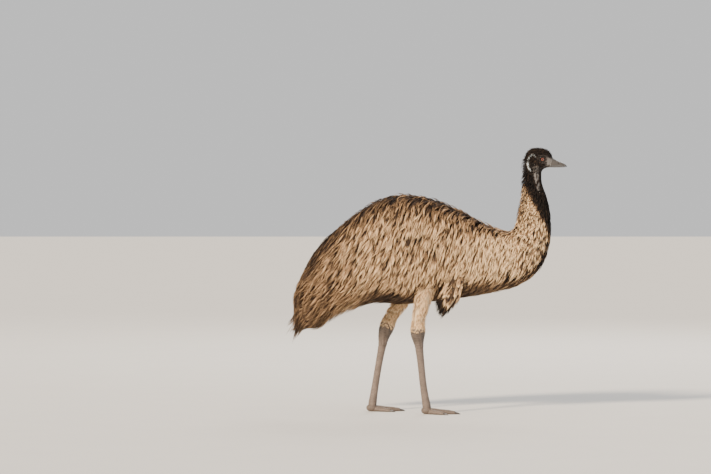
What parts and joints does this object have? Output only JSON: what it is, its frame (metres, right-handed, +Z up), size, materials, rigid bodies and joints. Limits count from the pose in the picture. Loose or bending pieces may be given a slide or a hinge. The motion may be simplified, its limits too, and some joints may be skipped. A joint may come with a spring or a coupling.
{
  "type": "emu",
  "caption": "Life-size still model of a standing emu in mid stroll, head up and looking ahead, with shaggy drooping plumage, bare scaly lower legs and flat splayed toes.",
  "frame": {"origin": "on the floor, under the middle of the bird's bounding box", "axes": "+X the way the bird faces, +Y its left side, +Z up"},
  "size_m": [1.3998, 0.4564, 1.35],
  "materials": {
    "plumage": "matt, shaggy and mottled brown",
    "pale_plumage": "matt, soft and buff with dark flecks",
    "dark_plumage": "matt, hair-like and black",
    "skin": "bare grey-brown skin with fine black feathers",
    "leg": "horny grey-brown scales",
    "bill": "satin grey-brown horn",
    "claw": "dark polished horn",
    "eye": "wet gloss, brown-orange iris and black pupil"
  },
  "bodies": {
    "root": {"torso": "plumage", "tail": "plumage", "neck_lower": "pale_plumage", "neck_upper": "dark_plumage", "wing_l": "pale_plumage", "wing_r": "pale_plumage", "head": "skin", "eye_l": "eye", "eye_r": "eye", "bill_upper": "bill", "bill_lower": "bill", "tibia_l": "pale_plumage", "tibia_r": "pale_plumage", "hock_l": "leg", "hock_r": "leg", "tarsus_l": "leg", "tarsus_r": "leg", "toe_inner_l": "leg", "toe_inner_r": "leg", "toe_middle_l": "leg", "toe_middle_r": "leg", "toe_outer_l": "leg", "toe_outer_r": "leg", "claw_inner_l": "claw", "claw_inner_r": "claw", "claw_middle_l": "claw", "claw_middle_r": "claw", "claw_outer_l": "claw", "claw_outer_r": "claw"}
  },
  "joints": []
}
